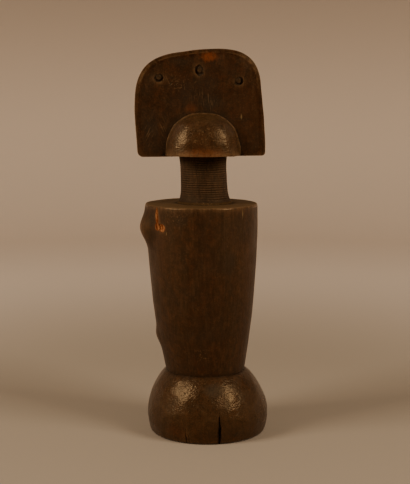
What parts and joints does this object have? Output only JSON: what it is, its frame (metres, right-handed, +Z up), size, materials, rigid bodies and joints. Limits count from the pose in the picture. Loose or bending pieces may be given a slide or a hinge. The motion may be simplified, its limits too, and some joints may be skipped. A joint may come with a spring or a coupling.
{
  "type": "carved wooden figure",
  "caption": "Carved wooden doll: domed foot, tapering armless body with breasts and navel, ringed neck, and a faceless half-dome head crossed by a flat upright crest.",
  "frame": {"origin": "middle of the foot's flat underside", "axes": "+Z up through the neck and head; -X the chest, with breasts and navel; -Y the crest face with the stamped rings"},
  "size_m": [0.0763, 0.07, 0.2202],
  "materials": {
    "dark_wood": "hand-worn dark patina, satin, bare orange wood where it is chipped"
  },
  "bodies": {
    "root": {"carved_figure": "dark_wood"}
  },
  "joints": []
}
